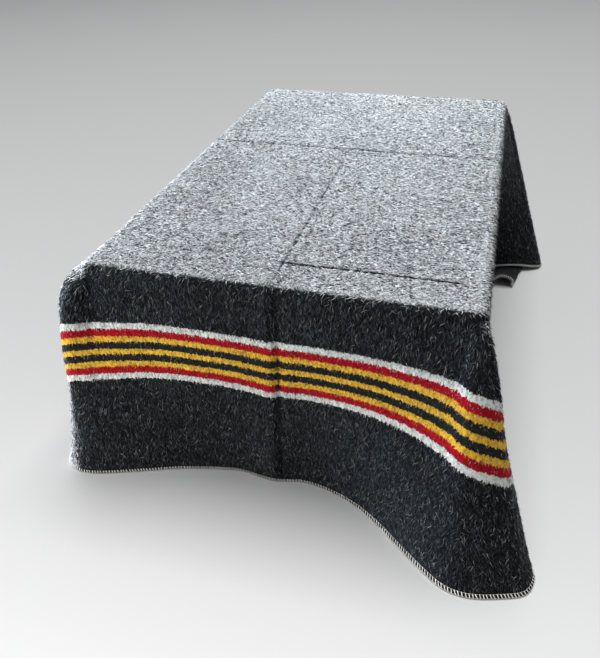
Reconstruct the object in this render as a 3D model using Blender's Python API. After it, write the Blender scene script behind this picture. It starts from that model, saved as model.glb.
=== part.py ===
"""Moving blanket draped over a low table.

A felted moving blanket, cut 1.50 m by 2.00 m, lies over a plain low table and reaches the
floor all round. Its striped end hangs at the front, where the viewer stands. The cloth is one
closed solid. Metres, +Z up; the origin is on the floor under the middle of the table, with
+Y along the table, away from the striped front.

How the cloth is shaped: a ring runs round the table top just inside its edge. From each
station on that ring the cloth turns over the edge, drops straight to its foot on the floor,
and lies on from there if it is longer than the drop. The tables below give one row for each
station that a fold needs, and a smooth closed curve runs through the rows.
"""
from collections import namedtuple
from math import cos, hypot, pi, radians, sin, sqrt

import bpy
import bmesh
import numpy as np
from mathutils import Matrix

# Blanket
CLOTH_THICK = 0.004
COVER_HALF_X = 0.315          # outer face of the cloth, hanging straight down
COVER_HALF_Y = 0.500
COVER_TOP = 0.417             # upper face of the cloth on the table
EDGE_RADIUS = 0.014           # outer radius where the cloth turns over the table's edge
EDGE_TURN = radians(80)       # how far it has turned when it starts to drop
CORNER_RADIUS = 0.008         # radius of the ring's corners, seen from above
FLOOR_GAP = 0.0004            # the hem's clearance over the floor
FULL_LIE = 0.03               # cloth lying at least this far rests flat on the floor
SOFT_BEND = 0.03              # length taken by the bend from hanging to lying

# Table
SEAT_GAP = 0.0003             # between pieces that rest on or against each other
EDGE_CLEARANCE = 0.002        # between the cloth's inner face and the table's edge
BOARD_THICK = 0.022
BOARD_EDGE_RADIUS = 0.0105
BOARD_CORNER_RADIUS = CORNER_RADIUS + EDGE_RADIUS - CLOTH_THICK - EDGE_CLEARANCE
LEG_SIDE = 0.045
LEG_INSET = 0.035             # from the board's edge to the leg's outer face
APRON_DEEP = 0.060
APRON_THICK = 0.018

# Mesh steps
EDGE_STEPS = 3                # faces round the turn over the table's edge
DROP_SHARES = (0.18, 0.38, 0.58, 0.78, 1.0)   # rows down the drop
LIE_SHARES = (0.16, 0.36, 0.66, 1.0)          # rows from the bend at the foot to the hem
HEM_BAND = 0.06               # those last rows take at least this length of cloth
TOP_RINGS = (0.55,)           # rings on the flat top, as shares of the table's size
STEPS = {"front": 18, "side": 17, "back": 12, "corner": 17}

FELT = (0.024, 0.027, 0.031, 1.0)
WOOD = (0.40, 0.25, 0.13, 1.0)

# One row for each station. place: metres from the side's middle, or degrees round a corner.
# foot: where the drop meets the floor. lie: how far on the hem lies from there. lift: the
# hem's height off the floor. shoulder: stand-off just under the table's edge, where the stiff
# cloth bows outward. belly: the same at half height.
Station = namedtuple("Station", "place foot_x foot_y lie_x lie_y lift shoulder belly")

FRONT_PANEL = (                # swings forward to both corners, with the middle crease at 0
    Station(-0.250, -0.249, -0.534, 0, 0, 0, 0.004, 0),
    Station(-0.200, -0.202, -0.517, 0, 0, 0, 0, 0),
    Station(-0.150, -0.154, -0.504, 0, 0, 0, 0, 0),
    Station(-0.076, -0.080, -0.491, 0, 0, 0, 0, 0),
    Station(0.000, -0.007, -0.498, 0, 0, 0, 0, 0),
    Station(0.043, 0.036, -0.489, 0, 0, 0, 0, 0),
    Station(0.124, 0.114, -0.504, 0, 0, 0, 0, 0),
    Station(0.167, 0.153, -0.523, 0, 0, 0, 0, 0),
    Station(0.218, 0.194, -0.552, 0, 0, 0, 0, 0),
    Station(0.271, 0.234, -0.587, 0, 0, 0, 0, 0),
)
NEAR_RIGHT_EAR = (             # a flat-faced ear; the blanket's corner lies on the floor behind it
    Station(0, 0.269, -0.616, 0, 0, 0, 0, 0),
    Station(8, 0.319, -0.646, 0, 0, 0, 0.004, 0),
    Station(11, 0.340, -0.6485, 0, 0, 0, 0.006, 0),
    Station(18, 0.395, -0.637, 0, 0, 0, 0.009, 0),
    Station(24, 0.435, -0.618, 0, 0, 0, 0.016, -0.006),
    Station(28, 0.4440, -0.591, 0, 0, 0, 0.022, -0.014),
    Station(34, 0.426, -0.555, -0.004, 0.018, 0, 0.025, -0.006),
    Station(44, 0.390, -0.502, 0.016, 0.078, 0, 0.022, 0),
    Station(52, 0.367, -0.472, 0.022, 0.108, 0, 0.016, 0),
    Station(62, 0.352, -0.448, 0.026, 0.062, 0, 0.010, 0),
    Station(76, 0.345, -0.422, 0.010, 0.012, 0, 0.004, 0),
)
RIGHT_PANEL = (
    Station(-0.440, 0.342, -0.395, 0, 0, 0, 0, 0),
    Station(-0.340, 0.338, -0.330, 0, 0, 0, 0, 0),
    Station(-0.200, 0.332, -0.200, 0, 0, 0, 0, 0),
    Station(0.000, 0.328, 0.000, 0, 0, 0, 0, 0),
    Station(0.240, 0.329, 0.240, 0, 0, 0.002, 0, 0),
    Station(0.330, 0.331, 0.327, 0, 0, 0.012, 0, 0),
    Station(0.365, 0.345, 0.352, 0, 0, 0.017, 0, 0),
    Station(0.400, 0.378, 0.364, 0, 0, 0.018, 0, 0),
    Station(0.440, 0.418, 0.377, 0, 0, 0.015, 0, 0),
    Station(0.470, 0.447, 0.388, 0, 0, 0.009, 0, 0),
)
FAR_RIGHT_EAR = (              # folds back behind itself; its tongue runs out under the hem and curls
    Station(4, 0.466, 0.403, 0, 0, 0.004, 0.002, 0),
    Station(9, 0.471, 0.424, 0, 0, 0.001, 0.004, 0),
    Station(15, 0.462, 0.441, -0.010, -0.012, 0, 0.006, 0),
    Station(20, 0.449, 0.449, -0.033, -0.062, 0, 0.008, 0),
    Station(23, 0.442, 0.451, -0.038, -0.106, 0, 0.009, 0),
    Station(27, 0.433, 0.452, -0.037, -0.160, 0.001, 0.010, 0),
    Station(33, 0.421, 0.453, -0.028, -0.168, 0.014, 0.010, 0),
    Station(39, 0.408, 0.455, -0.027, -0.172, 0.023, 0.010, 0),
    Station(46, 0.388, 0.458, -0.026, -0.175, 0.025, 0.010, 0),
    Station(53, 0.370, 0.462, -0.025, -0.174, 0.010, 0.010, 0),
    Station(58, 0.358, 0.465, -0.017, -0.135, 0.002, 0.010, 0),
    Station(66, 0.347, 0.473, -0.004, -0.040, 0, 0.008, 0),
    Station(74, 0.338, 0.491, 0.004, 0.002, 0, 0.008, 0),
    Station(82, 0.328, 0.506, 0.026, 0.048, 0, 0.006, 0),
)
BACK_PANEL = (                 # the longer end: it lies on the floor behind the table
    Station(0.280, 0.290, 0.514, 0.028, 0.118, 0, 0, 0),
    Station(0.200, 0.203, 0.514, 0.012, 0.133, 0, 0, 0),
    Station(0.050, 0.050, 0.512, 0.002, 0.128, 0, 0, 0),
    Station(-0.100, -0.100, 0.514, -0.004, 0.134, 0, 0, 0),
    Station(-0.220, -0.222, 0.514, -0.013, 0.126, 0, 0, 0),
)
FAR_LEFT_EAR = (
    Station(0, -0.318, 0.514, -0.022, 0.106, 0, 0.002, 0),
    Station(16, -0.365, 0.505, -0.025, 0.070, 0, 0.006, 0),
    Station(34, -0.415, 0.485, -0.020, 0.040, 0, 0.010, 0),
    Station(50, -0.455, 0.455, -0.006, 0.007, 0, 0.010, 0),
    Station(60, -0.4698, 0.425, 0, 0, 0, 0.010, 0),
    Station(70, -0.452, 0.400, 0, 0, 0, 0.008, 0),
    Station(84, -0.405, 0.380, 0, 0, 0, 0.004, 0),
)
LEFT_PANEL = (
    Station(0.430, -0.362, 0.362, 0, 0, 0, 0, 0),
    Station(0.340, -0.338, 0.310, 0, 0, 0, 0, 0),
    Station(0.180, -0.330, 0.175, 0, 0, 0, 0, 0),
    Station(0.000, -0.328, 0.000, 0, 0, 0, 0, 0),
    Station(-0.180, -0.330, -0.180, 0, 0, 0, 0.002, 0),
    Station(-0.340, -0.340, -0.325, 0, 0, 0, 0.012, 0),
    Station(-0.440, -0.352, -0.400, -0.002, 0.002, 0, 0.034, 0),
)
NEAR_LEFT_EAR = (              # a broad round ear; the stiff cloth stands off in a shoulder
    Station(14, -0.365, -0.432, -0.013, 0.047, 0, 0.042, 0),
    Station(34, -0.385, -0.465, -0.027, 0.093, 0, 0.046, 0),
    Station(50, -0.402, -0.495, -0.026, 0.040, 0, 0.043, 0),
    Station(66, -0.412, -0.530, -0.001, 0.004, 0, 0.040, 0),
    Station(76, -0.398, -0.557, 0, 0, 0, 0.028, 0),
    Station(84, -0.365, -0.567, 0, 0, 0, 0.015, 0),
)

# The ring's eight stretches, anticlockwise from above: kind, mesh steps, direction outward at
# its start in degrees, and its rows.
Stretch = namedtuple("Stretch", "kind steps outward rows")
STRETCHES = (
    Stretch("side", STEPS["front"], -90, FRONT_PANEL),
    Stretch("corner", STEPS["corner"], -90, NEAR_RIGHT_EAR),
    Stretch("side", STEPS["side"], 0, RIGHT_PANEL),
    Stretch("corner", STEPS["corner"], 0, FAR_RIGHT_EAR),
    Stretch("side", STEPS["back"], 90, BACK_PANEL),
    Stretch("corner", STEPS["corner"], 90, FAR_LEFT_EAR),
    Stretch("side", STEPS["side"], 180, LEFT_PANEL),
    Stretch("corner", STEPS["corner"], 180, NEAR_LEFT_EAR),
)
CORNER_SPAN = 0.40            # a corner's fan counts as this length along the ring

RING_HALF_X = COVER_HALF_X - EDGE_RADIUS
RING_HALF_Y = COVER_HALF_Y - EDGE_RADIUS
STRAIGHT_X = RING_HALF_X - CORNER_RADIUS
STRAIGHT_Y = RING_HALF_Y - CORNER_RADIUS


def clear_scene():
    """Remove every object that is in the file."""
    for obj in list(bpy.data.objects):
        bpy.data.objects.remove(obj, do_unlink=True)


def material(name, colour, roughness):
    """A plain material with the piece's colour."""
    mat = bpy.data.materials.new(name)
    mat.use_nodes = True
    shader = mat.node_tree.nodes["Principled BSDF"]
    shader.inputs["Base Color"].default_value = colour
    shader.inputs["Roughness"].default_value = roughness
    shader.inputs["Metallic"].default_value = 0.0
    return mat


def half_lengths(stretch):
    """Half the straight length of a side, and its distance from the middle of the table."""
    if stretch.outward in (-90, 90):
        return STRAIGHT_X, RING_HALF_Y
    return STRAIGHT_Y, RING_HALF_X


def ring_place(stretch, share):
    """Point on the ring at a share (0 to 1) of a stretch, and the direction outward there."""
    angle = radians(stretch.outward)
    if stretch.kind == "corner":
        turned = angle + share * pi / 2
        out = np.array([cos(turned), sin(turned)])
        sign_x = 1 if stretch.outward in (-90, 0) else -1
        sign_y = 1 if stretch.outward in (0, 90) else -1
        centre = np.array([sign_x * STRAIGHT_X, sign_y * STRAIGHT_Y])
        return centre + CORNER_RADIUS * out, out
    half, away = half_lengths(stretch)
    out = np.array([cos(angle), sin(angle)])
    along = np.array([-out[1], out[0]])
    return out * away + along * (2 * share - 1) * half, out


def row_share(stretch, row):
    """Share of its stretch at which a row of the table stands."""
    if stretch.kind == "corner":
        return row.place / 90
    half = half_lengths(stretch)[0]
    forward = 1 if stretch.outward in (-90, 0) else -1
    return (forward * row.place + half) / (2 * half)


def stretch_starts():
    """Running length along the ring at which each stretch starts, and the whole length."""
    starts = [0.0]
    for stretch in STRETCHES:
        long = CORNER_SPAN if stretch.kind == "corner" else 2 * half_lengths(stretch)[0]
        starts.append(starts[-1] + long)
    return starts[:-1], starts[-1]


def closed_curve(knots, values, total, at):
    """Values at the running lengths in at, on a smooth closed curve through the knots."""
    knots = np.concatenate([knots[-2:] - total, knots, knots[:2] + total])
    values = np.concatenate([values[-2:], values, values[:2]])
    gaps = np.diff(knots)
    slopes = np.diff(values, axis=0) / gaps[:, None]
    tangents = np.zeros_like(values)
    before, after = gaps[:-1, None], gaps[1:, None]
    tangents[1:-1] = (slopes[:-1] * after + slopes[1:] * before) / (before + after)
    found = []
    for place in at:
        if place < knots[2]:
            place = place + total
        i = int(np.searchsorted(knots, place, side="right")) - 1
        i = min(max(i, 1), len(knots) - 3)
        t = (place - knots[i]) / gaps[i]
        start, end = values[i], values[i + 1]
        leave, arrive = tangents[i] * gaps[i], tangents[i + 1] * gaps[i]
        found.append((2 * t**3 - 3 * t**2 + 1) * start + (t**3 - 2 * t**2 + t) * leave
                     + (3 * t**2 - 2 * t**3) * end + (t**3 - t**2) * arrive)
    return np.array(found)


def drop_line(point, out, row):
    """Fine line of cloth from the end of the turn over the edge, down to the hem."""
    turn_x = EDGE_RADIUS * sin(EDGE_TURN)
    turn_z = COVER_TOP - EDGE_RADIUS * (1 - cos(EDGE_TURN))
    start = np.array([*(point + out * turn_x), turn_z])
    lie = np.array([row.lie_x, row.lie_y])
    lie_long = hypot(*lie)
    rest = FLOOR_GAP + CLOTH_THICK * min(1.0, lie_long / FULL_LIE)
    lifted = max(row.lift, 0.0)
    foot = np.array([row.foot_x, row.foot_y, rest if lie_long > 0.01 else rest + lifted])
    bend = SOFT_BEND * lie_long / (lie_long + SOFT_BEND)
    line = []
    for t in np.linspace(0, 1 - bend / COVER_TOP, 40):
        off = row.shoulder * 3.5 * (1 - t)**2 * sqrt(t) + row.belly * sin(pi * t)
        line.append(start + (foot - start) * t + np.array([*(out * off), 0.0]))
    if lie_long > 0.001:
        way = lie / lie_long
        flat = foot + np.array([*(way * bend), 0.0])
        hang = line[-1]
        for t in np.linspace(0.125, 1, 8):
            line.append((1 - t)**2 * hang + 2 * t * (1 - t) * foot + t**2 * flat)
        hem = np.array([foot[0] + lie[0], foot[1] + lie[1], rest + lifted])
        for t in np.linspace(0.083, 1, 12):
            across = flat + (hem - flat) * t
            across[2] = flat[2] + (hem[2] - flat[2]) * t**3
            line.append(across)
    return np.array(line)


def spaced(line, lie_long):
    """Points down a line of cloth: some on the drop, some on the last stretch to the hem."""
    steps = np.linalg.norm(np.diff(line, axis=0), axis=1)
    run = np.concatenate([[0.0], np.cumsum(steps)])
    last = max(lie_long + SOFT_BEND / 2, HEM_BAND)
    split = run[-1] - last
    places = [0.0] + [split * share for share in DROP_SHARES]
    places += [split + last * share for share in LIE_SHARES]
    return np.stack([np.interp(places, run, line[:, k]) for k in range(3)], axis=1)


def cloth_line(point, out, row):
    """Points of the cloth's outer face from the ring to the hem at one station."""
    turn = []
    for angle in np.linspace(0, EDGE_TURN, EDGE_STEPS + 1)[:-1]:
        flat = point + out * EDGE_RADIUS * sin(angle)
        turn.append([flat[0], flat[1], COVER_TOP - EDGE_RADIUS * (1 - cos(angle))])
    drop = spaced(drop_line(point, out, row), hypot(row.lie_x, row.lie_y))
    return np.concatenate([np.array(turn), drop])


def drape():
    """Outer face of the hanging cloth: an array of stations by points down to the hem."""
    starts, total = stretch_starts()
    knots, values = [], []
    for start, end, stretch in zip(starts, starts[1:] + [total], STRETCHES):
        for row in stretch.rows:
            knots.append(start + (end - start) * row_share(stretch, row))
            values.append(row[1:])
    knots, values = np.array(knots), np.array(values, dtype=float)
    lines = []
    for start, end, stretch in zip(starts, starts[1:] + [total], STRETCHES):
        for share in np.arange(stretch.steps) / stretch.steps:
            point, out = ring_place(stretch, share)
            place = start + (end - start) * share
            row = closed_curve(knots, values, total, [place])[0]
            lines.append(cloth_line(point, out, Station(share, *row)))
    return np.array(lines)


def face_normals(grid):
    """Unit normals of the outer face at each point of the stations-by-points grid."""
    around = np.roll(grid, -1, axis=0) - np.roll(grid, 1, axis=0)
    down = np.gradient(grid, axis=1)
    normal = np.cross(down, around)
    normal /= np.linalg.norm(normal, axis=2, keepdims=True)
    normal[:, 0] = (0.0, 0.0, 1.0)
    return normal


def add_object(name, mesh, mat):
    """Put a mesh into the scene as a named object with its material."""
    obj = bpy.data.objects.new(name, mesh)
    obj.data.materials.append(mat)
    bpy.context.scene.collection.objects.link(obj)
    return obj


def blanket(mat):
    """The cloth: outer and inner face, joined round the hem."""
    outer = drape()
    inner = outer - CLOTH_THICK * face_normals(outer)
    inner[:, :, 2] = np.maximum(inner[:, :, 2], FLOOR_GAP)
    bm = bmesh.new()
    sheets = []
    for sheet, height in ((outer, COVER_TOP), (inner, COVER_TOP - CLOTH_THICK)):
        rings = [[bm.verts.new(p) for p in sheet[:, k]] for k in range(sheet.shape[1])]
        for share in TOP_RINGS:
            flat = [(p[0] * share, p[1] * share, height) for p in sheet[:, 0]]
            rings.insert(0, [bm.verts.new(p) for p in flat])
        sheets.append((bm.verts.new((0, 0, height)), rings))
    count = len(outer)
    for middle, rings in sheets:
        for i in range(count):
            j = (i + 1) % count
            bm.faces.new((middle, rings[0][i], rings[0][j]))
            for upper, lower in zip(rings, rings[1:]):
                bm.faces.new((upper[i], lower[i], lower[j], upper[j]))
    outer_hem, inner_hem = sheets[0][1][-1], sheets[1][1][-1]
    for i in range(count):
        j = (i + 1) % count
        bm.faces.new((outer_hem[i], inner_hem[i], inner_hem[j], outer_hem[j]))
    bmesh.ops.recalc_face_normals(bm, faces=bm.faces)
    mesh = bpy.data.meshes.new("blanket")
    bm.to_mesh(mesh)
    bm.free()
    mesh.shade_smooth()
    return add_object("blanket", mesh, mat)


def board_outline(half_x, half_y, radius, arc_steps=5):
    """Corner-rounded rectangle, anticlockwise."""
    points = []
    for k, (sx, sy) in enumerate(((1, -1), (1, 1), (-1, 1), (-1, -1))):
        centre = (sx * (half_x - radius), sy * (half_y - radius))
        for step in range(arc_steps + 1):
            angle = -pi / 2 + k * pi / 2 + step / arc_steps * pi / 2
            points.append((centre[0] + radius * cos(angle), centre[1] + radius * sin(angle)))
    return points


def table_board(mat, top):
    """The table's board, with its upper edge rounded over."""
    half_x = COVER_HALF_X - CLOTH_THICK - EDGE_CLEARANCE
    half_y = COVER_HALF_Y - CLOTH_THICK - EDGE_CLEARANCE
    levels = [(top - BOARD_THICK, 0.0), (top - BOARD_EDGE_RADIUS, 0.0)]
    for angle in (30, 60, 90):
        rise = BOARD_EDGE_RADIUS * (1 - sin(radians(angle)))
        inset = BOARD_EDGE_RADIUS * (1 - cos(radians(angle)))
        levels.append((top - rise, inset))
    bm = bmesh.new()
    rings = []
    for height, inset in levels:
        outline = board_outline(half_x - inset, half_y - inset, BOARD_CORNER_RADIUS - inset)
        rings.append([bm.verts.new((x, y, height)) for x, y in outline])
    for lower, upper in zip(rings, rings[1:]):
        for i in range(len(lower)):
            j = (i + 1) % len(lower)
            bm.faces.new((lower[i], lower[j], upper[j], upper[i]))
    bm.faces.new(rings[0])
    bm.faces.new(rings[-1])
    bmesh.ops.recalc_face_normals(bm, faces=bm.faces)
    mesh = bpy.data.meshes.new("table_top")
    bm.to_mesh(mesh)
    bm.free()
    add_object("table_top", mesh, mat)
    return half_x, half_y


def block(name, size, centre, mat):
    """A plain wooden piece with its edges eased."""
    bm = bmesh.new()
    bmesh.ops.create_cube(bm, size=1.0, matrix=Matrix.Diagonal((*size, 1.0)))
    bmesh.ops.bevel(bm, geom=bm.edges, offset=0.002, segments=1, affect="EDGES")
    mesh = bpy.data.meshes.new(name)
    bm.to_mesh(mesh)
    bm.free()
    obj = add_object(name, mesh, mat)
    obj.location = centre
    return obj


def table(mat):
    """Board, four legs and four aprons, each its own piece."""
    top = COVER_TOP - CLOTH_THICK - SEAT_GAP
    half_x, half_y = table_board(mat, top)
    leg_high = top - BOARD_THICK - SEAT_GAP
    leg_x = half_x - LEG_INSET - LEG_SIDE / 2
    leg_y = half_y - LEG_INSET - LEG_SIDE / 2
    for side_x, name_x in ((-1, "left"), (1, "right")):
        for side_y, name_y in ((-1, "front"), (1, "back")):
            size = (LEG_SIDE, LEG_SIDE, leg_high)
            block(f"leg_{name_y}_{name_x}", size, (side_x * leg_x, side_y * leg_y, leg_high / 2), mat)
    apron_z = leg_high - APRON_DEEP / 2
    short = 2 * leg_x - LEG_SIDE - 2 * SEAT_GAP
    long = 2 * leg_y - LEG_SIDE - 2 * SEAT_GAP
    for side, name in ((-1, "front"), (1, "back")):
        block(f"apron_{name}", (short, APRON_THICK, APRON_DEEP), (0, side * leg_y, apron_z), mat)
    for side, name in ((-1, "left"), (1, "right")):
        block(f"apron_{name}", (APRON_THICK, long, APRON_DEEP), (side * leg_x, 0, apron_z), mat)


clear_scene()
blanket(material("felt", FELT, 0.95))
table(material("wood", WOOD, 0.6))
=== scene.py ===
# %% [markdown]
# # A striped felt moving blanket over a low table
#
# A moving blanket is a sheet of needled felt, about 4 mm thick, made of recycled fibres of many
# colours. It guards furniture in a van. This one lies over a low table and falls to the floor.
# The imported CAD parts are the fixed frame, and each piece below is built around them.

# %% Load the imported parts
from collections import namedtuple
from math import cos, hypot, pi, radians, sin

import bpy
import numpy as np
from mathutils import Matrix, Vector, noise


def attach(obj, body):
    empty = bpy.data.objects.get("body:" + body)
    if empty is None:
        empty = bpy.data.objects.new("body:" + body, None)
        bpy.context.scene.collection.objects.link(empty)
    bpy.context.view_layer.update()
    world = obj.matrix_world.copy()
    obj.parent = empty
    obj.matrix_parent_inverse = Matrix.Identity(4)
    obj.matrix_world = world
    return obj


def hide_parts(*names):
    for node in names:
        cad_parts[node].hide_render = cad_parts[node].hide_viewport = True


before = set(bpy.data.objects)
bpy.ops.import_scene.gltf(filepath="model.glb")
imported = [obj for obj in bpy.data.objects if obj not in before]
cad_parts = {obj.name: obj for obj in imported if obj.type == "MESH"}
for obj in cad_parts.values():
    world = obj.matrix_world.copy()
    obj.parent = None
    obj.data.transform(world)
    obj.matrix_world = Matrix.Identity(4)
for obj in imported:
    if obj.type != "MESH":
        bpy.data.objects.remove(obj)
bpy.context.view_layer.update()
print("CAD parts:", ", ".join(sorted(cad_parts)))

# %% [markdown]
# ## Camera
#
# The camera's place and turn come from a least-squares fit to the table's edges in the
# photograph. Its three axes are unit vectors, so they go straight into a matrix. The lens is the
# fitted focal length in pixels, turned into millimetres on a 36 mm sensor.

# %% Place the camera
IMAGE_WIDE, IMAGE_HIGH = 600, 658
FOCAL_PX = 653.8
SENSOR = 36.0
CAMERA_PLACE = Vector((0.2776, -1.2646, 0.9256))
CAMERA_RIGHT = Vector((0.96256, 0.26978, -0.02637))
CAMERA_UP = Vector((-0.13657, 0.5667, 0.81252))

camera_data = bpy.data.cameras.new("camera")
camera_data.sensor_width = SENSOR
camera_data.lens = FOCAL_PX / max(IMAGE_WIDE, IMAGE_HIGH) * SENSOR
camera = bpy.data.objects.new("camera", camera_data)
camera_back = CAMERA_RIGHT.cross(CAMERA_UP)
camera.matrix_world = Matrix.Translation(CAMERA_PLACE) @ Matrix(
    (CAMERA_RIGHT, CAMERA_UP, camera_back)).transposed().to_4x4()
bpy.context.scene.collection.objects.link(camera)
bpy.context.scene.camera = camera
print(f"lens {camera_data.lens:.2f} mm")

# %% [markdown]
# ## Colours and nodes
#
# Colours are written as the sRGB hex values that a paint program shows. Shaders work in linear
# light, so one function turns them. A pattern's size is given in millimetres, and a noise wants
# to know how often it repeats in a metre. A third helper adds a node, sets it and links it.

# %% Define the helpers for materials
def linear(hex_colour):
    """Linear RGBA of an sRGB hex colour."""
    shares = [int(hex_colour[i:i + 2], 16) / 255 for i in (1, 3, 5)]
    return tuple(s / 12.92 if s <= 0.04045 else ((s + 0.055) / 1.055)**2.4 for s in shares) + (1.0,)


def repeats(millimetres):
    """How often a pattern of this size repeats in a metre."""
    return 1000 / millimetres


def add_node(tree, kind, inputs=None, **settings):
    """Add a node with its settings; inputs are values, or sockets to link from."""
    new = tree.nodes.new("ShaderNode" + kind)
    for name, value in settings.items():
        setattr(new, name, value)
    for key, value in (inputs or {}).items():
        if isinstance(value, bpy.types.NodeSocket):
            tree.links.new(value, new.inputs[key])
        else:
            new.inputs[key].default_value = value
    return new


def new_material(name):
    """An empty material, its node tree and its Principled shader."""
    mat = bpy.data.materials.new(name)
    mat.use_nodes = True
    return mat, mat.node_tree, mat.node_tree.nodes["Principled BSDF"]


# %% [markdown]
# ## Floor
#
# The object stands on a plain floor of matt white paint. It is rough on the scale of light, so
# it shows no highlight, only the shadow. It is darker further off, and that is painted shade,
# which stands in for light that fades toward the back. A weaker lamp at the back could do that,
# but then the cloth would get darker as well, so the floor's colour changes instead.

# %% Build the floor
FLOOR_HALF = 14.0
DARKER_FROM = 0.9             # metres before the object's middle
HALF_WAY = 0.7                # from there to an even mix of both paints
NEAR_PAINT, FAR_PAINTED_SHADE = "#f0f0f0", "#a0a0a0"

corners = [(-FLOOR_HALF, -FLOOR_HALF, 0), (FLOOR_HALF, -FLOOR_HALF, 0),
           (FLOOR_HALF, FLOOR_HALF, 0), (-FLOOR_HALF, FLOOR_HALF, 0)]
floor_mesh = bpy.data.meshes.new("floor")
floor_mesh.from_pydata(corners, [], [(0, 1, 2, 3)])
floor = bpy.data.objects.new("floor", floor_mesh)
bpy.context.scene.collection.objects.link(floor)

floor_mat, tree, shader = new_material("matt_painted_floor")
place = add_node(tree, "TexCoord")
axes = add_node(tree, "SeparateXYZ", {"Vector": place.outputs["Object"]})
onward = add_node(tree, "Math", {0: axes.outputs["Y"], 1: DARKER_FROM}, operation="ADD")
ahead = add_node(tree, "Math", {0: onward.outputs[0], 1: 0.0}, operation="MAXIMUM")
beyond = add_node(tree, "Math", {0: ahead.outputs[0], 1: HALF_WAY}, operation="ADD")
far = add_node(tree, "Math", {0: ahead.outputs[0], 1: beyond.outputs[0]}, operation="DIVIDE")
# painted shade: the floor's colour darkens from the near white to the far grey further off
paint_and_shade = add_node(tree, "Mix", {0: far.outputs[0], 6: linear(NEAR_PAINT), 7: linear(FAR_PAINTED_SHADE)},
                 data_type="RGBA")
tree.links.new(paint_and_shade.outputs[2], shader.inputs["Base Color"])
shader.inputs["Roughness"].default_value = 0.9
floor_mesh.materials.append(floor_mat)
print(f"floor {2 * FLOOR_HALF:.0f} m square")

# %% [markdown]
# ## Light
#
# Four lamps, as in a studio. A large one overhead gives the floor its single soft shadow. A
# gridded softbox behind rakes over the nap of the top, a strip at the left lights the edge
# there, and a fill in front opens up the dark felt. These three are flagged off the floor, which
# light linking does here, because each of them would add a shadow. A dim world is the room.

# %% Set up the lights
WALLS, WALLS_STRENGTH = "#dfe2e6", 0.28
Lamp = namedtuple("Lamp", "name place aim size spread power colour")
LAMPS = (
    Lamp("gridded_softbox_behind", (-0.4, 1.9, 1.5), (0.05, 0.50, 0.42), 0.6, 46, 8.5, "#eaf5fa"),
    Lamp("strip_at_left", (-3.0, -0.4, 0.8), (-0.40, -0.40, 0.20), 1.2, 60, 26, "#e0eaff"),
    Lamp("fill_in_front", (-0.85, -1.15, 0.45), (-0.1, -0.5, 0.25), 0.5, 150, 7.6, "#ffffff"),
    Lamp("soft_overhead", (0.1, 1.15, 9.0), (0.0, 0.0, 0.0), 6.0, 180, 870, "#ffffff"),
)


def add_lamp(lamp):
    """A square area light that points at its aim."""
    data = bpy.data.lights.new(lamp.name, "AREA")
    data.size = lamp.size
    data.spread = radians(lamp.spread)
    data.energy = lamp.power
    data.color = linear(lamp.colour)[:3]
    obj = bpy.data.objects.new(lamp.name, data)
    way = Vector(lamp.aim) - Vector(lamp.place)
    turned = way.to_track_quat("-Z", "Y").to_matrix().to_4x4()
    obj.matrix_world = Matrix.Translation(lamp.place) @ turned
    bpy.context.scene.collection.objects.link(obj)
    return obj


lamps = [add_lamp(lamp) for lamp in LAMPS]
flagged_off_floor = bpy.data.collections.new("flagged_off_floor")
for lamp in lamps[:-1]:
    lamp.light_linking.receiver_collection = flagged_off_floor
world = bpy.data.worlds.new("studio")
world.use_nodes = True
world.node_tree.nodes["Background"].inputs["Color"].default_value = linear(WALLS)
world.node_tree.nodes["Background"].inputs["Strength"].default_value = WALLS_STRENGTH
bpy.context.scene.world = world
bpy.context.scene.view_settings.view_transform = "Standard"    # the photograph's plain contrast
print(f"{len(lamps)} lamps, {len(lamps) - 1} of them flagged off the floor")

# %% [markdown]
# ## The fall of the cloth
#
# A ring runs round the table top just inside its edge. At each station on it the cloth turns
# over the edge, drops to its foot on the floor and lies on from there. The rows below are the
# same as in the part's source, and a smooth closed curve runs through them. A simulation would
# also drape it, but it wouldn't put the folds where this blanket has them.

# %% Sizes and stations of the drape
CLOTH_THICK = 0.004
COVER_HALF_X = 0.315          # outer face of the cloth, hanging straight down
COVER_HALF_Y = 0.500
COVER_TOP = 0.417             # upper face of the cloth on the table
EDGE_RADIUS = 0.014
EDGE_TURN = radians(80)
CORNER_RADIUS = 0.008
FLOOR_GAP = 0.0004
FULL_LIE = 0.03               # a hem that lies on this far rests on its whole thickness
SOFT_BEND = 0.03              # most that the bend at the foot takes of the cloth

# place: metres from the side's middle, or degrees round a corner. foot: where the drop meets
# the floor. lie: how far on the hem lies. lift: the hem's height off the floor. shoulder:
# stand-off just under the table's edge. belly: the same at half height.
Station = namedtuple("Station", "place foot_x foot_y lie_x lie_y lift shoulder belly")

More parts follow.
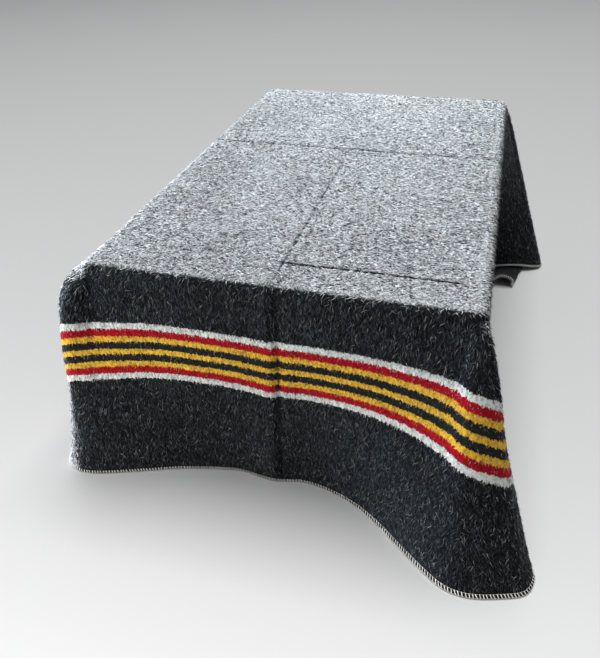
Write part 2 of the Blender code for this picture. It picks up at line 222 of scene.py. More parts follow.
FRONT_PANEL = (
    Station(-0.250, -0.249, -0.534, 0, 0, 0, 0.004, 0),
    Station(-0.200, -0.202, -0.517, 0, 0, 0, 0, 0),
    Station(-0.150, -0.154, -0.504, 0, 0, 0, 0, 0),
    Station(-0.076, -0.080, -0.491, 0, 0, 0, 0, 0),
    Station(0.000, -0.007, -0.498, 0, 0, 0, 0, 0),
    Station(0.043, 0.036, -0.489, 0, 0, 0, 0, 0),
    Station(0.124, 0.114, -0.504, 0, 0, 0, 0, 0),
    Station(0.167, 0.153, -0.523, 0, 0, 0, 0, 0),
    Station(0.218, 0.194, -0.552, 0, 0, 0, 0, 0),
    Station(0.271, 0.234, -0.587, 0, 0, 0, 0, 0),
)
NEAR_RIGHT_EAR = (
    Station(0, 0.269, -0.616, 0, 0, 0, 0, 0),
    Station(8, 0.319, -0.646, 0, 0, 0, 0.004, 0),
    Station(11, 0.340, -0.6485, 0, 0, 0, 0.006, 0),
    Station(18, 0.395, -0.637, 0, 0, 0, 0.009, 0),
    Station(24, 0.435, -0.618, 0, 0, 0, 0.016, -0.006),
    Station(28, 0.4440, -0.591, 0, 0, 0, 0.022, -0.014),
    Station(34, 0.426, -0.555, -0.004, 0.018, 0, 0.025, -0.006),
    Station(44, 0.390, -0.502, 0.016, 0.078, 0, 0.022, 0),
    Station(52, 0.367, -0.472, 0.022, 0.108, 0, 0.016, 0),
    Station(62, 0.352, -0.448, 0.026, 0.062, 0, 0.010, 0),
    Station(76, 0.345, -0.422, 0.010, 0.012, 0, 0.004, 0),
)
RIGHT_PANEL = (
    Station(-0.440, 0.342, -0.395, 0, 0, 0, 0, 0),
    Station(-0.340, 0.338, -0.330, 0, 0, 0, 0, 0),
    Station(-0.200, 0.332, -0.200, 0, 0, 0, 0, 0),
    Station(0.000, 0.328, 0.000, 0, 0, 0, 0, 0),
    Station(0.240, 0.329, 0.240, 0, 0, 0.002, 0, 0),
    Station(0.330, 0.331, 0.327, 0, 0, 0.012, 0, 0),
    Station(0.365, 0.345, 0.352, 0, 0, 0.017, 0, 0),
    Station(0.400, 0.378, 0.364, 0, 0, 0.018, 0, 0),
    Station(0.440, 0.418, 0.377, 0, 0, 0.015, 0, 0),
    Station(0.470, 0.447, 0.388, 0, 0, 0.009, 0, 0),
)
FAR_RIGHT_EAR = (
    Station(4, 0.466, 0.403, 0, 0, 0.004, 0.002, 0),
    Station(9, 0.471, 0.424, 0, 0, 0.001, 0.004, 0),
    Station(15, 0.462, 0.441, -0.010, -0.012, 0, 0.006, 0),
    Station(20, 0.449, 0.449, -0.033, -0.062, 0, 0.008, 0),
    Station(23, 0.442, 0.451, -0.038, -0.106, 0, 0.009, 0),
    Station(27, 0.433, 0.452, -0.037, -0.160, 0.001, 0.010, 0),
    Station(33, 0.421, 0.453, -0.028, -0.168, 0.014, 0.010, 0),
    Station(39, 0.408, 0.455, -0.027, -0.172, 0.023, 0.010, 0),
    Station(46, 0.388, 0.458, -0.026, -0.175, 0.025, 0.010, 0),
    Station(53, 0.370, 0.462, -0.025, -0.174, 0.010, 0.010, 0),
    Station(58, 0.358, 0.465, -0.017, -0.135, 0.002, 0.010, 0),
    Station(66, 0.347, 0.473, -0.004, -0.040, 0, 0.008, 0),
    Station(74, 0.338, 0.491, 0.004, 0.002, 0, 0.008, 0),
    Station(82, 0.328, 0.506, 0.026, 0.048, 0, 0.006, 0),
)
BACK_PANEL = (
    Station(0.280, 0.290, 0.514, 0.028, 0.118, 0, 0, 0),
    Station(0.200, 0.203, 0.514, 0.012, 0.133, 0, 0, 0),
    Station(0.050, 0.050, 0.512, 0.002, 0.128, 0, 0, 0),
    Station(-0.100, -0.100, 0.514, -0.004, 0.134, 0, 0, 0),
    Station(-0.220, -0.222, 0.514, -0.013, 0.126, 0, 0, 0),
)
FAR_LEFT_EAR = (
    Station(0, -0.318, 0.514, -0.022, 0.106, 0, 0.002, 0),
    Station(16, -0.365, 0.505, -0.025, 0.070, 0, 0.006, 0),
    Station(34, -0.415, 0.485, -0.020, 0.040, 0, 0.010, 0),
    Station(50, -0.455, 0.455, -0.006, 0.007, 0, 0.010, 0),
    Station(60, -0.4698, 0.425, 0, 0, 0, 0.010, 0),
    Station(70, -0.452, 0.400, 0, 0, 0, 0.008, 0),
    Station(84, -0.405, 0.380, 0, 0, 0, 0.004, 0),
)
LEFT_PANEL = (
    Station(0.430, -0.362, 0.362, 0, 0, 0, 0, 0),
    Station(0.340, -0.338, 0.310, 0, 0, 0, 0, 0),
    Station(0.180, -0.330, 0.175, 0, 0, 0, 0, 0),
    Station(0.000, -0.328, 0.000, 0, 0, 0, 0, 0),
    Station(-0.180, -0.330, -0.180, 0, 0, 0, 0.002, 0),
    Station(-0.340, -0.340, -0.325, 0, 0, 0, 0.012, 0),
    Station(-0.440, -0.352, -0.400, -0.002, 0.002, 0, 0.034, 0),
)
NEAR_LEFT_EAR = (
    Station(14, -0.365, -0.432, -0.013, 0.047, 0, 0.042, 0),
    Station(34, -0.385, -0.465, -0.027, 0.093, 0, 0.046, 0),
    Station(50, -0.402, -0.495, -0.026, 0.040, 0, 0.043, 0),
    Station(66, -0.412, -0.530, -0.001, 0.004, 0, 0.040, 0),
    Station(76, -0.398, -0.557, 0, 0, 0, 0.028, 0),
    Station(84, -0.365, -0.567, 0, 0, 0, 0.015, 0),
)

Stretch = namedtuple("Stretch", "kind outward rows")
STRETCHES = (
    Stretch("side", -90, FRONT_PANEL),
    Stretch("corner", -90, NEAR_RIGHT_EAR),
    Stretch("side", 0, RIGHT_PANEL),
    Stretch("corner", 0, FAR_RIGHT_EAR),
    Stretch("side", 90, BACK_PANEL),
    Stretch("corner", 90, FAR_LEFT_EAR),
    Stretch("side", 180, LEFT_PANEL),
    Stretch("corner", 180, NEAR_LEFT_EAR),
)
CORNER_SPAN = 0.40            # a corner's fan counts as this length along the ring
RING_HALF_X = COVER_HALF_X - EDGE_RADIUS
RING_HALF_Y = COVER_HALF_Y - EDGE_RADIUS
STRAIGHT_X = RING_HALF_X - CORNER_RADIUS
STRAIGHT_Y = RING_HALF_Y - CORNER_RADIUS
print(f"ring {2 * RING_HALF_X:.3f} m by {2 * RING_HALF_Y:.3f} m")

# %% Find places on the ring
def half_lengths(stretch):
    """Half the straight length of a side, and its distance from the middle of the table."""
    if stretch.outward in (-90, 90):
        return STRAIGHT_X, RING_HALF_Y
    return STRAIGHT_Y, RING_HALF_X


def ring_place(stretch, share):
    """Point on the ring at a share of a stretch, and the direction outward there."""
    angle = radians(stretch.outward)
    if stretch.kind == "corner":
        turned = angle + share * pi / 2
        out = np.array([cos(turned), sin(turned)])
        sign_x = 1 if stretch.outward in (-90, 0) else -1
        sign_y = 1 if stretch.outward in (0, 90) else -1
        return np.array([sign_x * STRAIGHT_X, sign_y * STRAIGHT_Y]) + CORNER_RADIUS * out, out
    half, away = half_lengths(stretch)
    out = np.array([cos(angle), sin(angle)])
    along = np.array([-out[1], out[0]])
    return out * away + along * (2 * share - 1) * half, out


def row_share(stretch, row):
    """Share of its stretch at which a row of the table stands."""
    if stretch.kind == "corner":
        return row.place / 90
    half = half_lengths(stretch)[0]
    forward = 1 if stretch.outward in (-90, 0) else -1
    return (forward * row.place + half) / (2 * half)


# %% Run a smooth curve through the stations
def closed_curve(knots, values, total, at):
    """Values at the running lengths in at, on a smooth closed curve through the knots."""
    knots = np.concatenate([knots[-2:] - total, knots, knots[:2] + total])
    values = np.concatenate([values[-2:], values, values[:2]])
    gaps = np.diff(knots)
    slopes = np.diff(values, axis=0) / gaps[:, None]
    tangents = np.zeros_like(values)
    before, after = gaps[:-1, None], gaps[1:, None]
    tangents[1:-1] = (slopes[:-1] * after + slopes[1:] * before) / (before + after)
    at = np.where(at < knots[2], at + total, at)
    i = np.clip(np.searchsorted(knots, at, side="right") - 1, 1, len(knots) - 3)
    t = ((at - knots[i]) / gaps[i])[:, None]
    leave, arrive = tangents[i] * gaps[i][:, None], tangents[i + 1] * gaps[i][:, None]
    return ((2 * t**3 - 3 * t**2 + 1) * values[i] + (t**3 - 2 * t**2 + t) * leave
            + (3 * t**2 - 2 * t**3) * values[i + 1] + (t**3 - t**2) * arrive)


# %% Draw one line of the drop
DROP_POINTS, BEND_POINTS, LIE_POINTS = 60, 10, 20
SHOULDER_PEAK = 3.5           # brings the peak of the shoulder's curve to 1
LIE_LEAST = 0.001             # a hem that lies on for less has no bend
FOOT_DOWN = 0.01              # and one that lies on for more has its foot on the floor


def drop_line(point, out, row):
    """Fine line of cloth from the end of the turn over the edge, down to the hem."""
    turn_x = EDGE_RADIUS * sin(EDGE_TURN)
    turn_z = COVER_TOP - EDGE_RADIUS * (1 - cos(EDGE_TURN))
    start = np.array([*(point + out * turn_x), turn_z])
    lie = np.array([row.lie_x, row.lie_y])
    lie_long = hypot(*lie)
    rest = FLOOR_GAP + CLOTH_THICK * min(1.0, lie_long / FULL_LIE)
    lifted = max(row.lift, 0.0)
    foot = np.array([row.foot_x, row.foot_y, rest if lie_long > FOOT_DOWN else rest + lifted])
    bend = SOFT_BEND * lie_long / (lie_long + SOFT_BEND)
    t = np.linspace(0, 1 - bend / COVER_TOP, DROP_POINTS)[:, None]
    off = row.shoulder * SHOULDER_PEAK * (1 - t)**2 * np.sqrt(t) + row.belly * np.sin(pi * t)
    line = start + (foot - start) * t + np.array([*out, 0.0]) * off
    if lie_long > LIE_LEAST:
        way = lie / lie_long
        flat = foot + np.array([*(way * bend), 0.0])
        t = np.linspace(0.1, 1, BEND_POINTS)[:, None]
        bent = (1 - t)**2 * line[-1] + 2 * t * (1 - t) * foot + t**2 * flat
        hem = np.array([foot[0] + lie[0], foot[1] + lie[1], rest + lifted])
        t = np.linspace(0.05, 1, LIE_POINTS)[:, None]
        laid = flat + (hem - flat) * t
        laid[:, 2] = flat[2] + (hem[2] - flat[2]) * t[:, 0]**3
        line = np.concatenate([line, bent, laid])
    return line


# %% [markdown]
# ## Where the mesh needs its lines
#
# The blanket was folded in quarters when it was packed, and its creases still show. A crease is
# a few millimetres wide, so the mesh has extra lines on both sides of each crease and even
# steps elsewhere. The same lines run on down the sides.

# %% Choose the stations of the fine mesh
BLANKET_WIDE, BLANKET_LONG = 1.50, 2.00
SHORT_FALL = 0.919            # cloth from the table's middle to the striped hem
CREASE_ACROSS = 0.081         # across the whole width
CREASE_HALF = -0.419          # from the middle to the right
CREASE_LINES = (-0.010, -0.006, -0.0035, -0.0015, 0.0, 0.0015, 0.0035, 0.006, 0.010)
CREASE_ROOM = 0.014           # the even lines keep this far off a crease
SIDE_STEP = 0.0085
CORNER_STEPS = 54
EDGE_STEPS = 6
DROP_ROWS = 62
HEM_ROWS = (0.018, 0.008, 0.004, 0.0015)      # distance from the hem


def lines_along(half, creases):
    """Places of mesh lines from -half to half, closer together at each crease."""
    even = np.linspace(-half, half, int(2 * half / SIDE_STEP) + 1)
    for crease in creases:
        near = np.array(CREASE_LINES) + crease
        even = np.concatenate([even[np.abs(even - crease) > CREASE_ROOM], near])
    return np.sort(even)


lines_x = lines_along(STRAIGHT_X, (0.0,))
lines_y = lines_along(STRAIGHT_Y, (CREASE_ACROSS, CREASE_HALF))
print(f"{len(lines_x)} lines across the top and {len(lines_y)} along it")

# %% Lay the cloth's outer face, station by station
# Cloth that turns over a corner slides down a little before it hangs: how much of the cut's
# length is drawn from lower down, at a share of the way through each stretch.
Slack = namedtuple("Slack", "stretch share amount")
SLACKS = (
    Slack(0, 0.05, 0.020), Slack(0, 0.50, 0.050), Slack(0, 0.90, 0.035),
    Slack(1, 0.05, 0.080), Slack(1, 0.20, 0.140), Slack(1, 0.30, 0.205), Slack(1, 0.39, 0.265),
    Slack(1, 0.50, 0.245), Slack(1, 0.80, 0.100), Slack(2, 0.30, 0.0), Slack(3, 0.50, 0.0),
    Slack(5, 0.50, 0.0), Slack(6, 0.70, 0.0), Slack(7, 0.20, 0.070), Slack(7, 0.50, 0.130),
    Slack(7, 0.64, 0.130), Slack(7, 0.75, 0.112), Slack(7, 0.86, 0.062),
)
SLACK_POWER = 6               # the slack runs out just before the hem
SQUARE_ON = 1e-6              # below this a direction runs along one axis only


def flat_reach(point, out):
    """Flat distance from a point on the ring to the blanket's own edge, straight outward."""
    reach = []
    if abs(out[0]) > SQUARE_ON:
        reach.append((np.sign(out[0]) * BLANKET_WIDE / 2 - point[0]) / out[0])
    if abs(out[1]) > SQUARE_ON:
        end = BLANKET_LONG - SHORT_FALL if out[1] > 0 else -SHORT_FALL
        reach.append((end - point[1]) / out[1])
    return min(reach)


def stretch_long(stretch):
    """Length of a stretch along the ring."""
    return CORNER_SPAN if stretch.kind == "corner" else 2 * half_lengths(stretch)[0]


def station_shares(stretch):
    """Shares of a stretch at which the mesh has its stations."""
    if stretch.kind == "corner":
        return np.arange(CORNER_STEPS) / CORNER_STEPS
    half = half_lengths(stretch)[0]
    lines = lines_x if stretch.outward in (-90, 90) else lines_y
    lines = lines if stretch.outward in (-90, 0) else -lines[::-1]
    return (lines[:-1] + half) / (2 * half)


def lay_station(point, out, row, slip):
    """Points down the line of one station, and their places in the flat cut."""
    turn = [[*(point + out * EDGE_RADIUS * sin(a)), COVER_TOP - EDGE_RADIUS * (1 - cos(a))]
            for a in np.linspace(0, EDGE_TURN, EDGE_STEPS + 1)[:-1]]
    line = np.concatenate([turn, drop_line(point, out, row)])
    run = np.concatenate([[0], np.cumsum(np.linalg.norm(np.diff(line, axis=0), axis=1))])
    hems = run[-1] - np.array(HEM_ROWS)
    turn_end = run[EDGE_STEPS]
    drops = turn_end + (hems[0] - turn_end) * np.linspace(0, 1, DROP_ROWS + 1)[:-1]
    places = np.concatenate([run[:EDGE_STEPS], drops, hems])
    laid = np.stack([np.interp(places, run, line[:, k]) for k in range(3)], axis=1)
    down = places / run[-1]
    flat = down * (1 - slip * (1 - down**SLACK_POWER)) * flat_reach(point, out)
    return laid, point + out * flat[:, None]


def lay_stations():
    """Grid of points, and grid of places in the flat cut, one line for each station."""
    longs = [stretch_long(stretch) for stretch in STRETCHES]
    starts, total = np.cumsum([0.0, *longs])[:-1], sum(longs)
    sides = list(zip(starts, longs, STRETCHES))
    knots = np.array([start + long * row_share(stretch, row)
                      for start, long, stretch in sides for row in stretch.rows])
    values = np.array([row[1:] for stretch in STRETCHES for row in stretch.rows], dtype=float)
    slack_knots = np.array([starts[s.stretch] + longs[s.stretch] * s.share for s in SLACKS])
    slacks = np.array([[s.amount] for s in SLACKS])
    points, cut = [], []
    for start, long, stretch in sides:
        shares = station_shares(stretch)
        rows = closed_curve(knots, values, total, start + long * shares)
        slips = closed_curve(slack_knots, slacks, total, start + long * shares)[:, 0]
        for share, row, slip in zip(shares, rows, slips):
            laid, flat = lay_station(*ring_place(stretch, share), Station(share, *row), slip)
            points.append(laid)
            cut.append(flat)
    return np.array(points), np.array(cut)


hang, hang_cut = lay_stations()
print(f"{hang.shape[0]} stations of {hang.shape[1]} points")

# %% [markdown]
# ## Creases
#
# A fold that was pressed for months leaves a narrow trough with a low lip on both sides, and the
# nap in it is crushed flat, so fewer locks stand there; its colour is darkened with painted
# shade. The trough is real shape in the mesh, so that it catches the light from any side. In the
# front's middle the valley is deep, with a ridge to the left of it. A pair of numbers for a fade
# says where a crease has run out and where it is at its full depth.

# %% Shape the creases
LIP_HIGH, LIP_OFF = 0.35, 2.2          # the lip's height and distance, in depths and widths
# press: how hard a crease crushes the nap, which also sets how much painted shade darkens it; the crease
# across gets more of both near its middle
Crease = namedtuple("Crease", "depth wide press press_wide")
ACROSS = Crease(0.0014, 0.0032, 0.70, 0.0055)
HALF = Crease(0.0020, 0.0022, 1.20, 0.0034)
MIDDLE = Crease(0.0016, 0.0032, 0.70, 0.0050)
ACROSS_HARDER = 0.14                   # the crease across is pressed harder near its middle
ACROSS_END, ACROSS_MIDDLE = (0.36, 0.30), (0.20, 0.05)
HALF_RIGHT, HALF_LEFT, HALF_STEP = (0.292, 0.262), (-0.20, -0.10), (-0.012, 0.012)
HALF_FAINT = 0.25                      # its share to the left of the middle
MIDDLE_BACK, MIDDLE_NEAR = (0.06, -0.10), (-0.505, -0.455)
RIDGE_HIGH, RIDGE_AT, RIDGE_WIDE = 0.0026, -0.005, 0.010
VALLEY_AT = 0.010
VALLEY = Crease(0.0034, 0.007, 0.75, 0.006)


def fade(value, start, end):
    """Smooth step from 0 at start to 1 at end."""
    t = np.clip((value - start) / (end - start), 0, 1)
    return t * t * (3 - 2 * t)


def bell(distance, wide):
    """Bell curve that is 1 on the line."""
    return np.exp(-(distance / wide)**2)


def crease_profile(distance, wide):
    """Trough of depth 1 with a low lip on each side, at a distance from the crease's line."""
    return LIP_HIGH * bell(np.abs(distance) - LIP_OFF * wide, wide) - bell(distance, wide)


def crease_marks(cut):
    """Height of the creases, and how hard they crush the nap and take painted shade, at each place."""
    u, v = cut[..., 0], cut[..., 1]
    across = fade(np.abs(u), *ACROSS_END)
    half = HALF_FAINT + (1 - HALF_FAINT) * fade(u, *HALF_STEP)
    half = half * fade(u, *HALF_RIGHT) * fade(u, *HALF_LEFT)
    middle = fade(v, *MIDDLE_BACK) * fade(v, *MIDDLE_NEAR)
    front = fade(v, *MIDDLE_NEAR[::-1])
    height = (ACROSS.depth * across * crease_profile(v - CREASE_ACROSS, ACROSS.wide)
              + HALF.depth * half * crease_profile(v - CREASE_HALF, HALF.wide)
              + MIDDLE.depth * middle * crease_profile(u, MIDDLE.wide)
              + RIDGE_HIGH * front * bell(u - RIDGE_AT, RIDGE_WIDE)
              - VALLEY.depth * front * bell(u - VALLEY_AT, VALLEY.wide))
    across = across * (ACROSS.press + ACROSS_HARDER * fade(np.abs(u), *ACROSS_MIDDLE))
    pressed_and_shaded = np.maximum.reduce([
        across * bell(v - CREASE_ACROSS, ACROSS.press_wide),
        HALF.press * half * bell(v - CREASE_HALF, HALF.press_wide),
        MIDDLE.press * middle * bell(u, MIDDLE.press_wide),
        VALLEY.press * front * bell(u - VALLEY_AT, VALLEY.press_wide)])
    return height, pressed_and_shaded


# %% [markdown]
# ## Give in the cloth
#
# Felt is stiff and soft at once: it never lies dead flat. A slow noise lifts and lowers the
# faces by a millimetre or two. It dies out at the floor and at the table's edge, where the cloth
# has no room to give. The overlock stretches the hem, so that the last bit turns outward.

# %% Shape the hanging cloth
HEM_FLARE = 0.003
Give = namedtuple("Give", "height waves seed")
SLOW_GIVE = Give(0.0011, 9.0, 1)       # height in metres, and waves in a metre
QUICK_GIVE = Give(0.0006, 32.0, 2)
TOP_GIVE = Give(0.0007, 14.0, 3)
TOP_DOWN = 0.3                         # the top gives downward more than upward
SETTLED = 0.05                         # below this height the floor holds the cloth
CREASE_RUNS_OUT = (0.004, 0.03)        # heights between which a crease fades in


def slow_noise(points, give):
    """Smooth noise from -1 to 1 at each point."""
    flat = points.reshape(-1, 3) * give.waves
    shift = Vector((give.seed * 7.3, give.seed * 3.1, give.seed * 5.7))
    found = np.array([noise.noise(Vector(p) + shift) for p in flat])
    return found.reshape(points.shape[:-1])


def grid_normals(grid):
    """Unit normals of the hanging cloth's outer face."""
    around = np.roll(grid, -1, axis=0) - np.roll(grid, 1, axis=0)
    down = np.gradient(grid, axis=1)
    normal = np.cross(down, around)
    normal /= np.linalg.norm(normal, axis=2, keepdims=True)
    normal[:, 0] = (0.0, 0.0, 1.0)
    return normal


hang_normal = grid_normals(hang)
hang_height, hang_pressed_and_shaded = crease_marks(hang_cut)
given = sum(give.height * slow_noise(hang, give) for give in (SLOW_GIVE, QUICK_GIVE))
settle = np.clip(hang[..., 2] / SETTLED, 0, 1) * fade(np.arange(hang.shape[1]), 0, EDGE_STEPS + 2)
steps = np.linalg.norm(np.diff(hang, axis=1), axis=2)
to_hem = np.cumsum(steps[:, ::-1], axis=1)[:, ::-1]
to_hem = np.concatenate([to_hem, np.zeros((len(hang), 1))], axis=1)
flare = HEM_FLARE * np.clip(1 - to_hem / HEM_ROWS[0], 0, 1)**2 * (1 - np.abs(hang_normal[..., 2]))
relief = given * settle + hang_height * fade(hang[..., 2], *CREASE_RUNS_OUT) + flare
hang = hang + hang_normal * relief[..., None]
hang_normal = grid_normals(hang)
print(f"hanging relief {np.ptp(relief) * 1000:.1f} mm")

# %% Shape the top
TOP_RIM = 0.02                # the relief fades in over this width from the edge

top_x, top_y = np.meshgrid(lines_x, lines_y, indexing="ij")
top_cut = np.stack([top_x, top_y], axis=-1)
top_height, top_pressed_and_shaded = crease_marks(top_cut)
inside = fade(STRAIGHT_X - np.abs(top_x), 0.0, TOP_RIM)
inside = inside * fade(STRAIGHT_Y - np.abs(top_y), 0.0, TOP_RIM)
top = np.stack([top_x, top_y, np.full_like(top_x, COVER_TOP)], axis=-1)
top[..., 2] += inside * (top_height + TOP_GIVE.height * (slow_noise(top, TOP_GIVE) - TOP_DOWN))
print(f"top relief {np.ptp(top[..., 2]) * 1000:.1f} mm")

# %% [markdown]
# ## The sheet itself
#
# The outer face is the top's grid, a narrow strip and the hanging stations. The inner face is
# the same, 4 mm further in, with fewer rows because nobody sees it. A rounded row joins them
# at the hem. One closed mesh is used and not a flat one with a Solidify modifier, so that the
# thickness stays right where the cloth lies on the floor. Five attributes go with it for the
# felt: its place in the cut, its tint, how far it looks up, how hard a crease crushes it, which
# also sets the crease's painted shade, and how much painted light its colour gets.

# %% Work out where light is painted on the felt
# These shares paint light into the felt's colour on faces turned sideways and back and at the near-left
# bend, and paint shade on the shoulders just below the table's edge.
SIDE_PAINTED_LIGHT, BACK_PAINTED_LIGHT, BEND_PAINTED_LIGHT = 0.34, 0.40, 0.95
SUNK_PAINTED_SHADE = 0.5               # share that is lost just below the table's edge


def painted_light_share(place, normal):
    """Painted light on the felt: turned up, sideways, back, at the left bend, less under the edge."""
    x, y, z = place[..., 0], place[..., 1], place[..., 2]
    sunk = fade(z, COVER_TOP - 0.008, COVER_TOP - 0.05)
    bend = fade(-x, 0.335, 0.365) * fade(-y, 0.46, 0.51)
    bend *= fade(-normal[..., 0], -0.15, 0.2) * fade(-normal[..., 0], 0.98, 0.82)
    return (normal[..., 2] * (1 - SUNK_PAINTED_SHADE * sunk) + SIDE_PAINTED_LIGHT * np.abs(normal[..., 0])
            + BACK_PAINTED_LIGHT * normal[..., 1] + BEND_PAINTED_LIGHT * bend)


# %% Join both faces into one closed mesh
INNER_EVERY = 3               # the inner face keeps every third row
INNER_ROWS = [*range(0, hang.shape[1] - 1, INNER_EVERY), hang.shape[1] - 1]
# painted shade: the sheet between the locks is tinted darker than the mean lock
SHEET_TINT = 0.34             # the ground under the nap is darker than the mean lock


def top_border(grid):
    """Points of the top's grid on its border, one for each station of the ring."""
    near, far = grid[:, 0], grid[:, -1]
    right, left = grid[-1, :], grid[0, :]
    right_turn, left_turn = [np.repeat(side[:1], CORNER_STEPS, 0) for side in (right, left)]
    right_end, left_end = [np.repeat(side[-1:], CORNER_STEPS, 0) for side in (right, left)]
    return np.concatenate([near[:-1], right_turn, right[:-1], right_end, far[::-1][:-1],
                           left_end, left[::-1][:-1], left_turn])


def strip_faces(upper, lower):
    """Quads, or triangles where two points are one, between two closed rows of indices."""
    faces = []
    for i in range(len(upper)):
        j = (i + 1) % len(upper)
        ring = [upper[i], lower[i], lower[j], upper[j]]
        faces.append(ring if upper[i] != upper[j] else ring[:3])
    return faces


def add_mesh(name, points, faces, mat):
    """A mesh object with its material, smooth shaded."""
    mesh = bpy.data.meshes.new(name)
    mesh.from_pydata(points.tolist(), [], faces)
    mesh.shade_smooth()
    mesh.materials.append(mat)
    obj = bpy.data.objects.new(name, mesh)
    bpy.context.scene.collection.objects.link(obj)
    return obj


def mark(obj, name, values):
    """Store a number, or a vector, for each point of a mesh."""
    values = np.asarray(values, dtype=np.float32)
    kind, field = ("FLOAT_VECTOR", "vector") if values.ndim == 2 else ("FLOAT", "value")
    layer = obj.data.attributes.new(name, kind, "POINT")
    layer.data.foreach_set(field, values.ravel())


def sheet_points():
    """Points of the sheet: the top, the outer face, the rim, the inner face and its middle."""
    inner = hang - CLOTH_THICK * hang_normal
    inner[..., 2] = np.maximum(inner[..., 2], FLOOR_GAP)
    outward = hang[:, -1] - hang[:, -2]
    outward /= np.linalg.norm(outward, axis=1)[:, None]
    rim = (hang[:, -1] + inner[:, -1]) / 2 + outward * HEM_ROWS[-1]
    rim[:, 2] = np.maximum(rim[:, 2], FLOOR_GAP)
    return np.concatenate([top.reshape(-1, 3), hang.reshape(-1, 3), rim,
                           inner[:, INNER_ROWS].reshape(-1, 3), [[0, 0, COVER_TOP - CLOTH_THICK]]])


def sheet_marks():
    """The attributes of the sheet's points, in the same order."""
    flat = np.ones(top_height.size)
    unseen = np.zeros(len(hang) * (1 + len(INNER_ROWS)) + 1)
    cut = np.concatenate([top_cut.reshape(-1, 2), hang_cut.reshape(-1, 2), hang_cut[:, -1],
                          hang_cut[:, INNER_ROWS].reshape(-1, 2), [[0, 0]]])
    return {"cut": np.pad(cut, ((0, 0), (0, 1))),
            "up": np.concatenate([flat, hang_normal[..., 2].ravel(), unseen]),
            "pressed_and_shaded": np.concatenate([top_pressed_and_shaded.ravel(), hang_pressed_and_shaded.ravel(), unseen]),
            "painted_light": np.concatenate([flat, painted_light_share(hang, hang_normal).ravel(), unseen]),
            "tint": np.full(len(cut), SHEET_TINT)}


def sheet_faces():
    """Faces of the closed sheet: the top's quads, then strips down, round the hem and back."""
    wide, deep = top_height.shape
    stations, rows = hang.shape[:2]
    top_at = np.arange(wide * deep).reshape(wide, deep)
    hang_at = wide * deep + np.arange(stations * rows).reshape(stations, rows)
    rim_at = hang_at[-1, -1] + 1 + np.arange(stations)
    inner_at = rim_at[-1] + 1 + np.arange(stations * len(INNER_ROWS)).reshape(stations, -1)
    middle = inner_at[-1, -1] + 1
    faces = [[top_at[i, j], top_at[i + 1, j], top_at[i + 1, j + 1], top_at[i, j + 1]]
             for i in range(wide - 1) for j in range(deep - 1)]
    rings = [top_border(top_at), *hang_at.T, rim_at, *inner_at.T[::-1]]
    for upper, lower in zip(rings, rings[1:]):
        faces += strip_faces(upper, lower)
    faces += [[inner_at[i, 0], middle, inner_at[(i + 1) % stations, 0]] for i in range(stations)]
    return [[int(index) for index in face] for face in faces]


def build_sheet(mat):
    """The blanket's cloth as one closed mesh, with its attributes."""
    obj = add_mesh("blanket_cloth", sheet_points(), sheet_faces(), mat)
    for name, values in sheet_marks().items():
        mark(obj, name, values)
    return obj


# %% [markdown]
# ## Felt
#
# Needled felt of shoddy: torn-up garments, so it holds fibres of every shade, and from afar it
# is charcoal. Light is painted into its colour: the top, which lies in the light, is painted
# light grey, and the hanging sides stay dark, so one number, the painted light, moves the colour
# between both. It is stored by place and direction, and so looks the same from every side. The
# stripes are dyed fibres needled in, so their borders are ragged. A little sheen is the glow of
# fuzz against the light, and the roughness is near 1, as on any dry wool. Real fibres are a
# hundred times finer than the strokes here, but wouldn't show from this far.

# %% Give the felt its sizes
LYING_STROKE = (3.45, 2.5, 2.5)        # mm along x, y and z: drawn coarse, so that they show
HANGING_STROKE = (3.03, 3.03, 7.7)
# the last size is that of the patches that break up the creases' painted shade
CLUMP, DRIFT, SHADE_PATCH = 11.1, 200, 14.3
RAGGED = 0.011                # how far the fibres of a stripe stray, in metres
OWN_MOST = 0.95               # a lock's tint above this counts as this
STRIPES = (                   # from the hem upward, in millimetres
    (11.5, "#d6dad4"), (14.0, "#a4041c"), (10.5, "#e0b23a"), (14.0, "#1b1e20"), (10.5, "#e0b23a"),
    (14.0, "#1b1e20"), (10.5, "#e0b23a"), (14.0, "#a4041c"), (12.0, "#d6dad4"),
)
BAND_LOW = -0.699             # the band's lower border in the cut
BAND_DEEP = sum(deep for deep, _ in STRIPES) / 1000
STRAY_FROM = 1.0              # a tint above this marks a lock as a stray fibre
print(f"band {BAND_DEEP * 1000:.0f} mm deep, {len(STRIPES)} stripes")

# %% Draw the strokes of fibre
def add_strokes(tree, place, up):
    """Strokes that hang, and the strokes of each face: flat on the top, hanging elsewhere."""
    lying = add_node(tree, "Mapping", {"Vector": place, "Scale": [repeats(s) for s in LYING_STROKE]})
    falling = add_node(tree, "Mapping", {"Vector": place, "Scale": [repeats(s) for s in HANGING_STROKE]})
    flat = add_node(tree, "TexNoise", {"Vector": lying.outputs[0], "Scale": 1.0, "Detail": 3.0})
    hung = add_node(tree, "TexNoise", {"Vector": falling.outputs[0], "Scale": 1.0, "Detail": 3.0})
    strokes = add_node(tree, "Mix", {0: up, 2: hung.outputs["Fac"], 3: flat.outputs["Fac"]})
    return hung.outputs["Fac"], strokes.outputs[0]


def add_fibres(tree, place, strokes, own, clumps):
    """How light a fibre is: its stroke and its own tint, a little clumped and drifting."""
    drift = add_node(tree, "TexNoise", {"Vector": place, "Scale": repeats(DRIFT), "Detail": 2.0})
    mixed = add_node(tree, "Math", {0: strokes, 1: 1.0, 2: own}, operation="MULTIPLY_ADD")
    mottled = add_node(tree, "Math", {0: clumps, 1: 0.08, 2: mixed.outputs[0]},
                       operation="MULTIPLY_ADD")
    fibre = add_node(tree, "Math", {0: drift.outputs["Fac"], 1: 0.15, 2: mottled.outputs[0]},
                     operation="MULTIPLY_ADD")
    return fibre.outputs[0]


